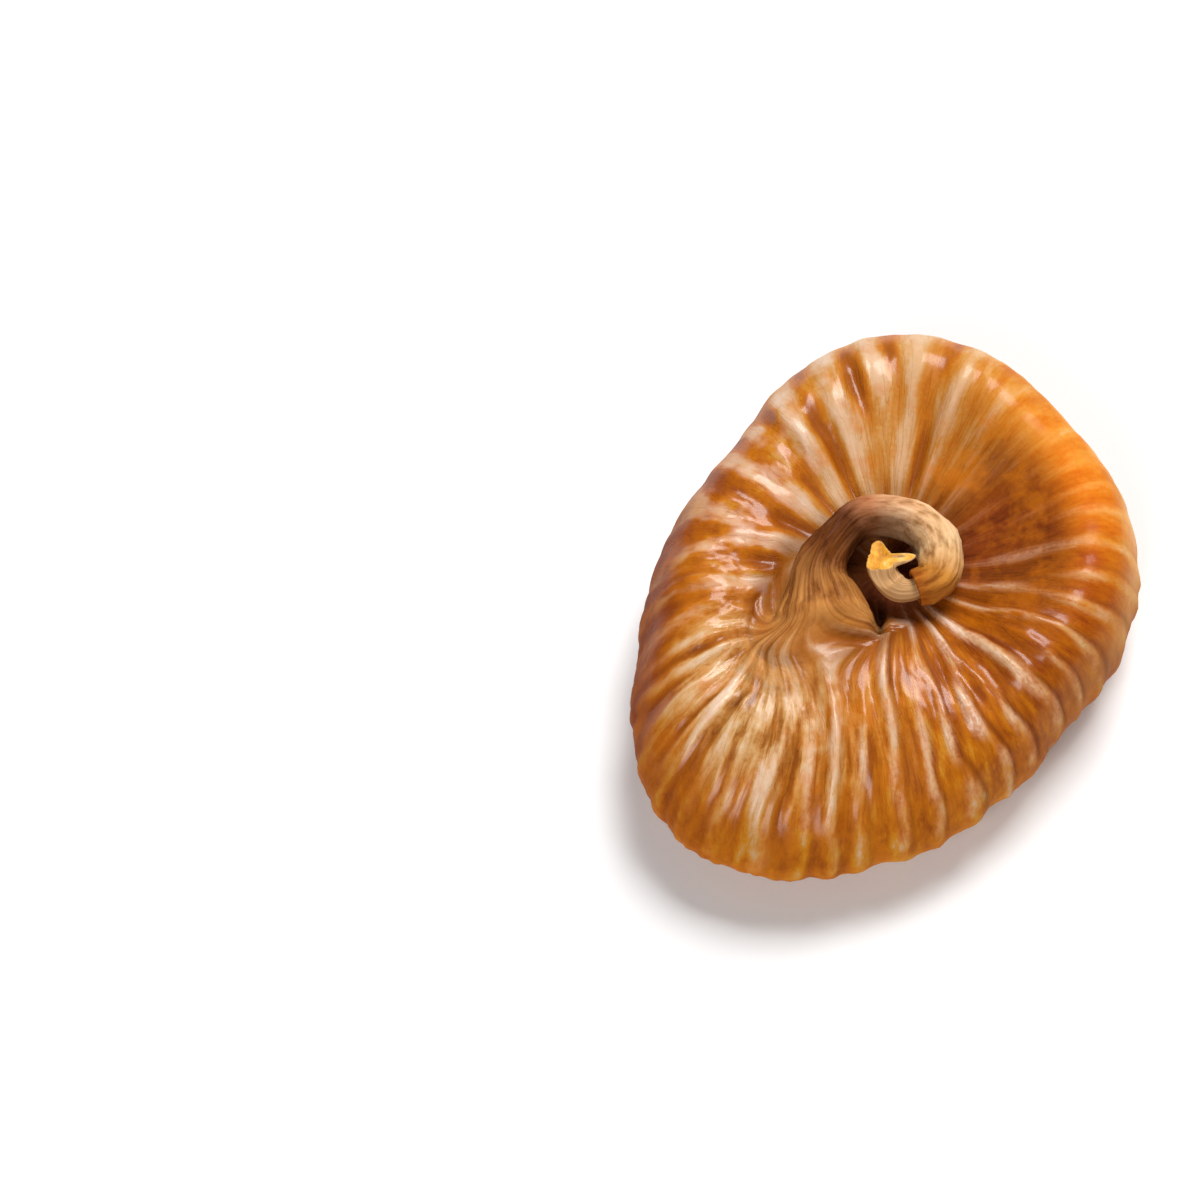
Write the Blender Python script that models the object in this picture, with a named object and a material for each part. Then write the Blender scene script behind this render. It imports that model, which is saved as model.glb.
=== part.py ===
# A dried fig lying on its flattened underside, with its long neck curled up in the hollow of its upper face.
# The fruit and its neck are one skin: a sphere pressed flat over the body and drawn out along the neck.
# The cut stalk, which sits in a socket at the neck's end, is the only other piece.
# Metres, +Z up, origin at the bottom centre of the bounding box. Compass angles run from +X towards +Y.

import math

import bmesh
import bpy
import numpy as np

MM = 0.001
TURN = 2.0 * math.pi

# The plan of the body, seen from above: an oval, with two sides drawn in and one corner drawn out.
HALF_LENGTH = 25.0 * MM
HALF_WIDTH = 21.3 * MM
MEAN_RADIUS = 22.0 * MM
LONG_AXIS_DEG = 93.0
PLAN_SWELLS = (  # compass angle, reach in degrees, change of radius
    (136.0, 33.0, -3.3 * MM),
    (308.0, 33.0, -3.1 * MM),
    (232.0, 31.0, 6.7 * MM),
    (48.0, 24.0, -1.3 * MM),
)

# The cross-section, from the hollow of the upper face, over the rim, to the eye in the middle of the underside.
# Each row is a share of the plan radius, then the height on the deep side, the left side and the fan side.
PROFILE = (
    (0.24, 9.9 * MM, 11.3 * MM, 13.6 * MM),
    (0.34, 9.9 * MM, 11.8 * MM, 13.5 * MM),
    (0.45, 10.5 * MM, 12.3 * MM, 13.2 * MM),
    (0.58, 12.2 * MM, 12.9 * MM, 12.8 * MM),
    (0.70, 14.0 * MM, 13.2 * MM, 12.1 * MM),
    (0.81, 14.8 * MM, 12.8 * MM, 10.9 * MM),
    (0.905, 13.6 * MM, 11.4 * MM, 9.2 * MM),
    (0.97, 11.0 * MM, 9.2 * MM, 7.2 * MM),
    (1.0, 7.8 * MM, 6.6 * MM, 5.4 * MM),
    (0.98, 4.7 * MM, 4.0 * MM, 3.5 * MM),
    (0.915, 2.2 * MM, 1.9 * MM, 1.7 * MM),
    (0.81, 0.75 * MM, 0.7 * MM, 0.7 * MM),
    (0.68, 0.0, 0.0, 0.0),
    (0.5, 0.0, 0.0, 0.0),
    (0.3, 0.0, 0.0, 0.0),
    (0.2, 0.15 * MM, 0.15 * MM, 0.15 * MM),
    (0.13, 0.9 * MM, 0.9 * MM, 0.9 * MM),
    (0.085, 1.1 * MM, 1.1 * MM, 1.1 * MM),
    (0.055, 0.75 * MM, 0.75 * MM, 0.75 * MM),
    (0.025, 0.85 * MM, 0.85 * MM, 0.85 * MM),
    (0.0, 1.6 * MM, 1.6 * MM, 1.6 * MM),
)
FLAT_FROM, FLAT_TO = 0.3, 0.68
SETTLED = 0.02 * MM  # how far the underside is pressed flat
LEFT_DEG, LEFT_REACH_DEG = 150.0, 62.0
FAN_DEG, FAN_REACH_DEG = 262.0, 63.0
ROOT_X, ROOT_Y = -6.8 * MM, -5.0 * MM
SPREAD_DEG, SPREAD_REACH_DEG = 322.0, 38.0  # where the skin beside the slit is drawn in towards the stalk
SPREAD_X, SPREAD_Y = 4.0 * MM, 1.0 * MM
NECK_FLATTENED = 0.6  # how much the neck's underside is drawn in where it joins the body

# The neck: its middle line from the body to the cut stalk, with the radius at each point.
NECK = (
    (-6.1 * MM, -5.4 * MM, 11.6 * MM, 3.9 * MM),
    (-6.4 * MM, -2.3 * MM, 12.7 * MM, 2.4 * MM),
    (-5.2 * MM, 0.1 * MM, 13.3 * MM, 1.8 * MM),
    (-3.3 * MM, 2.4 * MM, 13.3 * MM, 1.75 * MM),
    (-0.9 * MM, 3.0 * MM, 13.1 * MM, 1.8 * MM),
    (1.6 * MM, 2.5 * MM, 12.9 * MM, 1.9 * MM),
    (3.4 * MM, 0.8 * MM, 12.9 * MM, 1.95 * MM),
    (3.95 * MM, -1.4 * MM, 12.8 * MM, 1.9 * MM),
    (3.4 * MM, -3.2 * MM, 12.7 * MM, 1.8 * MM),
    (2.1 * MM, -3.7 * MM, 12.6 * MM, 1.65 * MM),
)
# The socket at the neck's end, from the middle of its floor to its lip: radius, distance along the neck.
SOCKET = (
    (0.0, -0.35 * MM),
    (0.8 * MM, -0.35 * MM),
    (1.25 * MM, -0.25 * MM),
    (1.33 * MM, 0.1 * MM),
    (1.45 * MM, 0.37 * MM),
    (1.62 * MM, 0.23 * MM),
)

# The relief, fading over the rim: ribs from the neck over the rim to the underside, lumps between creases, dents,
# and folds that fork on their way out. The folds' two numbers of cells are near the neck, and at the rim.
RIB_CELLS, RIB_LENGTH, RIB_DEPTH, RIB_SEED = 64, 13.0 * MM, 0.5 * MM, 5
LUMP_CELLS, LUMP_LENGTH, LUMP_DEPTH, LUMP_SEED = 26, 8.0 * MM, 0.5 * MM, 11
DENT_CELLS, DENT_LENGTH, DENT_DEPTH, DENT_SEED = 8, 11.0 * MM, 0.8 * MM, 23
FOLD_CELLS, FOLD_LENGTH, FOLD_DEPTH, FOLD_SEED = (26, 52), (8.0 * MM, 11.0 * MM), 0.6 * MM, 41
WANDER_CELLS, WANDER_LENGTH, WANDER_BY, WANDER_SEED = 18, 7.0 * MM, 0.06, 97  # how the folds bend and meet
CREASE_WIDTH = 0.3  # how wide the creases of the left side are, as a share of a fold
RIB_REGIONS = (  # compass angle, reach in degrees, change of strength
    (22.0, 42.0, -0.6),
    (238.0, 28.0, -0.3),
    (308.0, 42.0, 0.4),
)
FRONT_DEG, FRONT_REACH_DEG = 308.0, 44.0  # where folds stand up as crests
LUMPY_DEG, LUMPY_REACH_DEG = 150.0, 50.0  # where folds are round with creases between
PINCH_DEG, PINCH_REACH_DEG = 75.0, 80.0  # where the neck passes close over the hollow
CURL_AT = (-0.4 * MM, -0.4 * MM)  # where the ribs run out from, except in the fan
FLOW_DEG, FLOW_REACH_DEG = 238.0, 42.0  # where the ribs flow on from the neck
WALL_RELIEF = 0.3  # how much of the relief is left on the side wall
JOIN_RELIEF = 0.6  # how much there is where the neck joins the body
SCALES, SCALE_DEPTH = 5, 0.14 * MM

# A slit runs forward from under the stalk, where the fan folds over the front of the hollow.
SLIT_FROM, SLIT_TO = (-1.2 * MM, -4.4 * MM), (-1.4 * MM, -8.4 * MM)
SLIT_WIDTH, SLIT_DEPTH = 0.45 * MM, 2.0 * MM

# The cut stalk: its middle line from the socket to the cut, with the radius at each point.
STALK = (
    (2.0 * MM, -3.74 * MM, 12.6 * MM, 0.9 * MM),
    (1.3 * MM, -3.98 * MM, 12.5 * MM, 0.95 * MM),
    (0.4 * MM, -3.8 * MM, 12.4 * MM, 1.1 * MM),
    (-0.4 * MM, -3.2 * MM, 12.6 * MM, 1.2 * MM),
    (-0.95 * MM, -2.4 * MM, 13.1 * MM, 1.25 * MM),
    (-1.2 * MM, -1.6 * MM, 13.7 * MM, 1.25 * MM),
)
CUT_FACING = (-0.12, 0.1, 0.98)
CUT_CORNERS = (  # compass angle, reach in degrees, change of radius, from where along the stalk
    (100.0, 26.0, 0.75, 0.5),
    (220.0, 28.0, 0.25, 0.5),
    (315.0, 26.0, 0.25, 0.5),
    (2.0, 14.0, 1.55, 0.85),
)
CUT_DISH, CUT_DRAWN_IN = 0.22 * MM, 0.14

FRUIT_COLUMNS, FRUIT_ROWS = 120, 49
NECK_ROWS, JOIN_ROWS = 13, 3
STALK_COLUMNS, STALK_ROWS = 40, 21


def clear_scene():
    for thing in list(bpy.data.objects):
        bpy.data.objects.remove(thing, do_unlink=True)


def bell(theta, at_deg, reach_deg):
    away = (np.degrees(theta) - at_deg + 180.0) % 360.0 - 180.0
    return np.exp(-((away / reach_deg) ** 2))


def smooth(x, low, high):
    x = np.clip((np.asarray(x, float) - low) / (high - low), 0.0, 1.0)
    return x * x * (3.0 - 2.0 * x)


def curve(points, t, measured):
    """A smooth curve through the points, at t from 0 to 1 along the chords of the first `measured` columns."""
    points = np.asarray(points, float)
    before, after = 2.0 * points[0] - points[1], 2.0 * points[-1] - points[-2]
    padded = np.vstack([before, points, after])
    chords = np.linalg.norm(np.diff(points[:, :measured], axis=0), axis=1)
    stations = np.concatenate([[0.0], np.cumsum(chords)])
    x = np.asarray(t, float) * stations[-1]
    i = np.clip(np.searchsorted(stations, x, side="right") - 1, 0, len(points) - 2)
    u = ((x - stations[i]) / (stations[i + 1] - stations[i]))[..., None]
    a, b, c, e = padded[i], padded[i + 1], padded[i + 2], padded[i + 3]
    cubic = (3.0 * b - a - 3.0 * c + e) * u**3
    square = (2.0 * a - 5.0 * b + 4.0 * c - e) * u**2
    return 0.5 * (2.0 * b + (c - a) * u + square + cubic)


def length_of(points, measured):
    points = np.asarray(points, float)[:, :measured]
    return float(np.linalg.norm(np.diff(points, axis=0), axis=1).sum())


def plan_radius(theta):
    """The radius of the body's plan at each compass angle."""
    turned = theta - math.radians(LONG_AXIS_DEG)
    radius = 1.0 / np.hypot(np.cos(turned) / HALF_LENGTH, np.sin(turned) / HALF_WIDTH)
    for at, reach, change in PLAN_SWELLS:
        radius = radius + change * bell(theta, at, reach)
    return radius


def spaced_angles(columns):
    """Compass angles that divide the rim of the plan into equal lengths, and the share of a turn of each."""
    fine = np.linspace(0.0, TURN, 2001)
    radius = plan_radius(fine)
    steps = np.hypot(np.diff(radius * np.cos(fine)), np.diff(radius * np.sin(fine)))
    walked = np.concatenate([[0.0], np.cumsum(steps)])
    turn = np.linspace(0.0, TURN, columns, endpoint=False)
    return np.interp(turn / TURN * walked[-1], walked, fine), turn


def profile_table():
    rows = np.array(PROFILE)
    rows[:, 0] *= MEAN_RADIUS
    return rows


def body_ring(t, theta):
    """One ring of the smooth body, t from 0 in the hollow to 1 at the eye, and its share of the plan radius."""
    distance, deep, left_high, fan_high = curve(profile_table(), t, 4)
    share = max(distance / MEAN_RADIUS, 0.0)
    left = bell(theta, LEFT_DEG, LEFT_REACH_DEG)
    fan = bell(theta, FAN_DEG, FAN_REACH_DEG)
    over = np.maximum(left + fan, 1.0)
    left, fan = left / over, fan / over
    z = deep * (1.0 - left - fan) + left_high * left + fan_high * fan
    z = np.maximum(z - SETTLED, 0.0)
    lean = ((1.0 - share) / (1.0 - PROFILE[0][0])) ** 2 if t < 0.5 else 0.0
    radius = plan_radius(theta) * share
    spread = bell(theta, SPREAD_DEG, SPREAD_REACH_DEG)
    x = (ROOT_X + SPREAD_X * spread) * lean + radius * np.cos(theta)
    y = (ROOT_Y + SPREAD_Y * spread) * lean + radius * np.sin(theta)
    return np.stack([x, y, z], -1), share


def frames(path, t):
    """Along a path: the middle, the radius, two directions across and the direction onwards."""
    steps = np.linspace(0.0, 1.0, 400)
    line = curve(path, steps, 3)
    onwards = np.gradient(line[:, :3], axis=0)
    onwards /= np.linalg.norm(onwards, axis=1)[:, None]
    side = np.empty_like(onwards)
    across = np.array([1.0, 0.0, 0.0])
    for i, ahead in enumerate(onwards):
        across = across - ahead * (across @ ahead)
        across /= np.linalg.norm(across)
        side[i] = across
    up = np.cross(onwards, side)
    columns = np.hstack([line, side, up, onwards])
    found = np.stack([np.interp(t, steps, column) for column in columns.T], -1)
    return found[..., :3], found[..., 3], found[..., 4:7], found[..., 7:10], found[..., 10:13]


def ring(middle, radius, side, up, theta):
    return middle + radius * (np.cos(theta)[:, None] * side + np.sin(theta)[:, None] * up)


def noise(turn, along, cells, length, seed):
    """Smooth noise from about -1 to 1 that closes round the fruit and is drawn out along the ribs."""
    count = 16
    slopes = np.random.default_rng(seed).uniform(-1.0, 1.0, (cells, count, 2))
    u = (turn / TURN * cells) % cells
    v = (along / length) % count
    i, j = np.floor(u).astype(int), np.floor(v).astype(int)
    total = 0.0
    for di in (0, 1):
        for dj in (0, 1):
            du, dv = u - i - di, v - j - dj
            slope = slopes[(i + di) % cells, (j + dj) % count]
            weight = (1.0 - smooth(np.abs(du), 0.0, 1.0)) * (1.0 - smooth(np.abs(dv), 0.0, 1.0))
            total = total + weight * (1.6 * slope[..., 0] * du + 0.8 * slope[..., 1] * dv)
    return 1.6 * total


def rib_strength(theta):
    """How strongly the ribs stand out at each compass angle: faint on the deep side, strong opposite."""
    strength = np.ones_like(theta)
    for at, reach, change in RIB_REGIONS:
        strength = strength + change * bell(theta, at, reach)
    return strength


def relief(theta, turn, along, width):
    """The height of ribs, lumps, dents and folds over the smooth body; width is how wide the skin is gathered."""
    strength = rib_strength(theta)
    ribs = RIB_DEPTH * width * strength * noise(turn, along, RIB_CELLS, RIB_LENGTH, RIB_SEED)
    lumps = noise(turn, along, LUMP_CELLS, LUMP_LENGTH, LUMP_SEED)
    lumps = LUMP_DEPTH * width**0.8 * (0.4 + 0.6 * strength) * lumps
    dents = DENT_DEPTH * width * noise(turn, along, DENT_CELLS, DENT_LENGTH, DENT_SEED)
    forked = smooth(width, 0.4, 0.85)
    wander = WANDER_BY * noise(turn, along, WANDER_CELLS, WANDER_LENGTH, WANDER_SEED)
    wide_fold = noise(turn + 0.8 * wander, along, FOLD_CELLS[0], FOLD_LENGTH[0], FOLD_SEED)
    fold = (1.0 - forked) * wide_fold
    fold = fold + forked * noise(turn + wander, along, FOLD_CELLS[1], FOLD_LENGTH[1], FOLD_SEED + 1)
    crest = bell(theta, FRONT_DEG, FRONT_REACH_DEG)
    lumpy = bell(theta, LUMPY_DEG, LUMPY_REACH_DEG)
    crests = np.clip(1.0 - 2.2 * np.abs(fold), -0.5, 1.0)
    creases = 0.5 - 1.2 * np.exp(-((wide_fold / CREASE_WIDTH) ** 2))
    folds = crest * crests + 0.75 * lumpy * creases + 0.5 * (1.0 - crest) * (1.0 - lumpy) * fold
    return ribs + lumps + dents + FOLD_DEPTH * width**0.7 * folds


def slit(points):
    """From 0 outside the slit to 1 along its middle."""
    start, length = np.array(SLIT_FROM), math.dist(SLIT_FROM, SLIT_TO)
    ahead = (np.array(SLIT_TO) - start) / length
    off = points[..., :2] - start
    walked = off @ ahead / length
    aside = off[..., 0] * ahead[1] - off[..., 1] * ahead[0]
    ends = smooth(walked, -0.35, 0.1) * (1.0 - smooth(walked, 0.6, 1.15))
    return np.exp(-((aside / SLIT_WIDTH) ** 2)) * ends


def body_stations(count):
    """Where the body's rings lie: close over the rim and at the eye, far apart on the flat."""
    steps = np.linspace(0.0, 1.0, 600)
    share = curve(profile_table(), steps, 4)[:, 0] / MEAN_RADIUS
    under = steps > 0.5
    flat = under & (share > FLAT_FROM + 0.03) & (share < FLAT_TO - 0.03)
    eye = under & (share < 0.2)
    weight = np.where(flat, 0.3, np.where(eye, 1.6, 1.0))
    reached = np.concatenate([[0.0], np.cumsum(0.5 * (weight[1:] + weight[:-1]))])
    return np.interp(np.linspace(0.0, reached[-1], count), reached, steps)


def fruit_grid():
    """Rings of points from the middle of the socket's floor, along the neck and over the body, to the eye."""
    theta, turn = spaced_angles(FRUIT_COLUMNS)
    middle, radius, side, up, onwards = frames(NECK, np.linspace(1.0, 0.0, NECK_ROWS))
    neck_length, body_length = length_of(NECK, 3), length_of(profile_table(), 4)
    pinched = bell(theta, PINCH_DEG, PINCH_REACH_DEG)
    open_ring = np.ones_like(theta)
    rings, alongs, shares, freedoms, tops = [], [], [], [], []

    def add(points, along, share, freedom, on_top):
        rings.append(points)
        alongs.append(along)
        shares.append(share)
        freedoms.append(freedom * open_ring)
        tops.append(on_top)

    for reach, offset in SOCKET:
        add(ring(middle[0] + offset * onwards[0], reach, side[0], up[0], theta), 0.0, 0.0, 0.0, 0.0)
    for i in range(NECK_ROWS):
        away = i / (NECK_ROWS - 1)
        freedom = 0.2 * smooth(away, 0.0, 0.12) * (1.0 - pinched * smooth(away, 0.8, 1.0))
        reach = radius[i] * (1.0 - NECK_FLATTENED * smooth(away, 0.7, 1.0) * np.maximum(np.sin(theta), 0.0))
        add(ring(middle[i], reach[:, None], side[i], up[i], theta), neck_length * away, 0.0, freedom, 0.0)

    start, (end, share) = rings[-1], body_ring(0.0, theta)
    outwards = body_ring(0.01, theta)[0] - end
    outwards /= np.linalg.norm(outwards, axis=1)[:, None]
    gap = np.linalg.norm(end - start, axis=1)[:, None]
    leave, arrive = -1.1 * onwards[-1] * gap, outwards * gap
    for u in np.linspace(0.0, 1.0, JOIN_ROWS + 2)[1:-1]:
        from_start = (2.0 * u**3 - 3.0 * u**2 + 1.0) * start + (u**3 - 2.0 * u**2 + u) * leave
        to_end = (3.0 * u**2 - 2.0 * u**3) * end + (u**3 - u**2) * arrive
        points = from_start + to_end
        add(points, neck_length + 3.0 * MM * u, share, JOIN_RELIEF * (1.0 - pinched), smooth(u, 0.3, 0.6))
    for t in body_stations(FRUIT_ROWS - len(rings)):
        points, share = body_ring(t, theta)
        if t < 0.5:
            freedom = 1.0 - pinched * (1.0 - smooth(share, PROFILE[0][0], 0.36))
            freedom = freedom * (1.0 - (1.0 - WALL_RELIEF) * smooth(share, 0.62, 0.92))
        else:
            freedom = WALL_RELIEF * smooth(share, FLAT_TO, 0.95)
        add(points, neck_length + 3.0 * MM + body_length * t, share, freedom, 1.0 if t < 0.5 else 0.0)

    points = np.array(rings)
    along, freedom = np.array(alongs)[:, None], np.array(freedoms)
    round_fruit = np.roll(points, -1, axis=1) - np.roll(points, 1, axis=1)
    width = np.linalg.norm(round_fruit, axis=2) / (2.0 * TURN / FRUIT_COLUMNS) / MEAN_RADIUS
    # In the fan the ribs flow on from the neck. Elsewhere on the upper face they run straight out from its curl.
    from_curl = points[..., :2] - np.array(CURL_AT)
    compass = np.arctan2(from_curl[..., 1], from_curl[..., 0]) % TURN
    straight = np.interp(compass, np.append(theta, TURN), np.append(turn, TURN))
    freely = np.array(tops)[:, None] * (1.0 - smooth(np.array(shares)[:, None], 0.8, 0.98))
    freely = freely * (1.0 - bell(theta, FLOW_DEG, FLOW_REACH_DEG))
    turn = turn + freely * ((straight - turn + math.pi) % TURN - math.pi)
    width = width + freely * (np.hypot(from_curl[..., 0], from_curl[..., 1]) / MEAN_RADIUS - width)
    height = relief(theta, turn, along, width) * freedom
    down_fruit = np.gradient(points, axis=0)
    normal = np.cross(down_fruit, round_fruit)
    normal /= np.maximum(np.linalg.norm(normal, axis=2), 1e-12)[..., None]
    in_slit = slit(points) * np.array(tops)[:, None]
    points = points + normal * height[..., None]
    points[..., 2] -= SLIT_DEPTH * in_slit

    eye = np.array(shares)[:, None] * (np.arange(len(rings)) > len(rings) // 2)[:, None]
    scales = smooth(eye, 0.015, 0.05) * (1.0 - smooth(eye, 0.06, 0.1))
    points[..., 2] += SCALE_DEPTH * scales * np.cos(SCALES * theta)
    points[0] = points[0].mean(axis=0)
    points[-1] = points[-1].mean(axis=0)
    return points


def stalk_grid():
    """Rings of points from the stalk's foot in the socket to the middle of its cut face."""
    theta = np.linspace(0.0, TURN, STALK_COLUMNS, endpoint=False)
    side_rows = STALK_ROWS - 5
    steps = np.linspace(0.0, 1.0, side_rows)
    middle, radius, side, up, onwards = frames(STALK, steps)
    facing = np.array(CUT_FACING) / np.linalg.norm(CUT_FACING)
    clockwise = np.sign(np.cross(side[-1], up[-1])[2])
    compass = math.atan2(side[-1][1], side[-1][0]) + clockwise * theta
    rings = [ring(middle[0], radius[0] * share, side[0], up[0], theta) for share in (0.0, 0.6)]
    for i, step in enumerate(steps):
        outline = 1.0 - CUT_DRAWN_IN * smooth(step, 0.4, 1.0)
        for at, reach, change, start in CUT_CORNERS:
            outline = outline + change * smooth(step, start, 1.0) * bell(compass, at, reach)
        # Each ring turns from square across the stalk to the slant of the cut.
        turned = smooth(step, 0.35, 0.85)
        heading = onwards[i] * (1.0 - turned) + facing * turned
        heading /= np.linalg.norm(heading)
        level = side[i] - heading * (side[i] @ heading)
        level /= np.linalg.norm(level)
        rings.append(ring(middle[i], (radius[i] * outline)[:, None], level, np.cross(heading, level), theta))
    rim = rings[-1]
    for share, dish in ((0.8, 0.15), (0.45, 0.8), (0.0, 0.8)):
        rings.append(middle[-1] + (rim - middle[-1]) * share - facing * CUT_DISH * dish)
    return np.array(rings[::-1])


def sphere_from_grid(name, grid):
    """A sphere whose rings and columns are moved to the rows and columns of the grid."""
    rows, columns = grid.shape[:2]
    mesh = bmesh.new()
    bmesh.ops.create_uvsphere(mesh, u_segments=columns, v_segments=rows - 1, radius=1.0)
    for vertex in mesh.verts:
        x, y, z = vertex.co
        row = round(math.acos(max(-1.0, min(1.0, z))) / math.pi * (rows - 1))
        column = round(math.atan2(y, x) / TURN * columns) % columns
        vertex.co = grid[row, column]
    data = bpy.data.meshes.new(name)
    mesh.to_mesh(data)
    mesh.free()
    data.shade_smooth()
    thing = bpy.data.objects.new(name, data)
    return thing


def material(name, colour, roughness, metallic):
    made = bpy.data.materials.new(name)
    made.use_nodes = True
    shader = made.node_tree.nodes["Principled BSDF"]
    shader.inputs["Base Color"].default_value = (*colour, 1.0)
    shader.inputs["Roughness"].default_value = roughness
    shader.inputs["Metallic"].default_value = metallic
    made.diffuse_color = (*colour, 1.0)
    return made


def main():
    clear_scene()
    group = bpy.data.collections.new("dried_fig")
    bpy.context.scene.collection.children.link(group)

    fruit, stalk = fruit_grid(), stalk_grid()
    low, high = fruit.reshape(-1, 3).min(axis=0), fruit.reshape(-1, 3).max(axis=0)
    origin = np.array([(low[0] + high[0]) / 2.0, (low[1] + high[1]) / 2.0, low[2]])

    skin = sphere_from_grid("fruit", fruit - origin)
    skin.data.materials.append(material("dried_fig_skin", (0.48, 0.16, 0.02), 0.32, 0.0))
    group.objects.link(skin)

    stub = sphere_from_grid("stem", stalk - origin)
    stub.data.materials.append(material("cut_fig_stalk", (0.66, 0.36, 0.09), 0.7, 0.0))
    group.objects.link(stub)


main()
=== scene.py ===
# A dried fig lying face up on a white surface, with its neck curled round its cut stalk.
# Every object is in metres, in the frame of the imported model.

import math

import bpy
import numpy as np
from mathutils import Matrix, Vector


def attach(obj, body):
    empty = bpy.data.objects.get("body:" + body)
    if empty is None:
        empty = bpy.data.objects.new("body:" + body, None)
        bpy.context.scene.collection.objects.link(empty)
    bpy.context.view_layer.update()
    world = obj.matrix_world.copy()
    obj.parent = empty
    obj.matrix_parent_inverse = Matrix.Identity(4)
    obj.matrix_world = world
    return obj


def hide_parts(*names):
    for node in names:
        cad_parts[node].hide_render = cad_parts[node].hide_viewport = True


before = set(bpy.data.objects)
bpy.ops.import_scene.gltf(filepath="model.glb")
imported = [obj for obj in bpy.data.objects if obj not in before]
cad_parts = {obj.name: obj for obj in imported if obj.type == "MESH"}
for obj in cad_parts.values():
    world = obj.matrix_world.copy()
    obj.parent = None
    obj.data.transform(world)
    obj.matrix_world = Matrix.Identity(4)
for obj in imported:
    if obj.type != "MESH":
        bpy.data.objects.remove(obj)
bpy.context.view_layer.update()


# The fruit. A fig picked ripe, dried in the sun until the skin wrinkled along its ribs, then dipped in hot
# water and pressed flat. Skin, flesh and neck are one grown piece: the ribs run from the neck's end, over
# the rim, to the eye in the middle of the underside.
MM = 0.001
TURN = 2.0 * math.pi

# The plan of the body, seen from above: an oval, with two sides drawn in and one corner drawn out.
HALF_LENGTH = 25.0 * MM
HALF_WIDTH = 21.3 * MM
MEAN_RADIUS = 22.0 * MM
LONG_AXIS_DEG = 93.0
PLAN_SWELLS = (  # compass angle, reach in degrees, change of radius
    (136.0, 33.0, -3.3 * MM),
    (308.0, 33.0, -3.1 * MM),
    (232.0, 31.0, 6.7 * MM),
    (48.0, 24.0, -1.3 * MM),
)
PLAN_MIDDLE = (0.766 * MM, 1.44 * MM, 0.0)

# The cross-section from the hollow, over the rim, to the eye: share of the plan radius, then the height on
# the deep side, the left side and the fan side.
PROFILE = (
    (0.24, 9.9 * MM, 11.3 * MM, 13.6 * MM),
    (0.34, 9.9 * MM, 11.8 * MM, 13.5 * MM),
    (0.45, 10.5 * MM, 12.3 * MM, 13.2 * MM),
    (0.58, 12.2 * MM, 12.9 * MM, 12.8 * MM),
    (0.70, 14.0 * MM, 13.2 * MM, 12.1 * MM),
    (0.81, 14.8 * MM, 12.8 * MM, 10.9 * MM),
    (0.905, 13.6 * MM, 11.4 * MM, 9.2 * MM),
    (0.97, 11.0 * MM, 9.2 * MM, 7.2 * MM),
    (1.0, 7.8 * MM, 6.6 * MM, 5.4 * MM),
    (0.98, 4.7 * MM, 4.0 * MM, 3.5 * MM),
    (0.915, 2.2 * MM, 1.9 * MM, 1.7 * MM),
    (0.81, 0.75 * MM, 0.7 * MM, 0.7 * MM),
    (0.68, 0.0, 0.0, 0.0),
    (0.5, 0.0, 0.0, 0.0),
    (0.3, 0.0, 0.0, 0.0),
    (0.2, 0.15 * MM, 0.15 * MM, 0.15 * MM),
    (0.13, 0.9 * MM, 0.9 * MM, 0.9 * MM),
    (0.085, 1.1 * MM, 1.1 * MM, 1.1 * MM),
    (0.055, 0.75 * MM, 0.75 * MM, 0.75 * MM),
    (0.025, 0.85 * MM, 0.85 * MM, 0.85 * MM),
    (0.0, 1.6 * MM, 1.6 * MM, 1.6 * MM),
)
FLAT_FROM, FLAT_TO = 0.3, 0.68
SETTLED = 0.02 * MM
LEFT_DEG, LEFT_REACH_DEG = 150.0, 62.0
FAN_DEG, FAN_REACH_DEG = 262.0, 63.0
ROOT_X, ROOT_Y = -6.8 * MM, -5.0 * MM
SPREAD_DEG, SPREAD_REACH_DEG = 322.0, 38.0  # where the skin beside the slit is drawn in towards the stalk
SPREAD_X, SPREAD_Y = 4.0 * MM, 1.0 * MM
JOIN_LENGTH = 3.0 * MM
NECK_FLATTENED = 0.6  # how much the neck's underside is drawn in where it joins the body

# The neck's middle line from the body to the cut stalk, with the radius at each point.
NECK = (
    (-6.1 * MM, -5.4 * MM, 11.6 * MM, 3.9 * MM),
    (-6.4 * MM, -2.3 * MM, 12.7 * MM, 2.4 * MM),
    (-5.2 * MM, 0.1 * MM, 13.3 * MM, 1.8 * MM),
    (-3.3 * MM, 2.4 * MM, 13.3 * MM, 1.75 * MM),
    (-0.9 * MM, 3.0 * MM, 13.1 * MM, 1.8 * MM),
    (1.6 * MM, 2.5 * MM, 12.9 * MM, 1.9 * MM),
    (3.4 * MM, 0.8 * MM, 12.9 * MM, 1.95 * MM),
    (3.95 * MM, -1.4 * MM, 12.8 * MM, 1.9 * MM),
    (3.4 * MM, -3.2 * MM, 12.7 * MM, 1.8 * MM),
    (2.1 * MM, -3.7 * MM, 12.6 * MM, 1.65 * MM),
)
# The socket that holds the stalk, from its floor to its lip: radius, distance along the neck.
SOCKET = (
    (0.0, -0.35 * MM),
    (0.5 * MM, -0.35 * MM),
    (0.9 * MM, -0.34 * MM),
    (1.2 * MM, -0.28 * MM),
    (1.31 * MM, -0.08 * MM),
    (1.35 * MM, 0.15 * MM),
    (1.41 * MM, 0.32 * MM),
    (1.49 * MM, 0.37 * MM),
    (1.58 * MM, 0.31 * MM),
    (1.64 * MM, 0.15 * MM),
)

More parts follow.
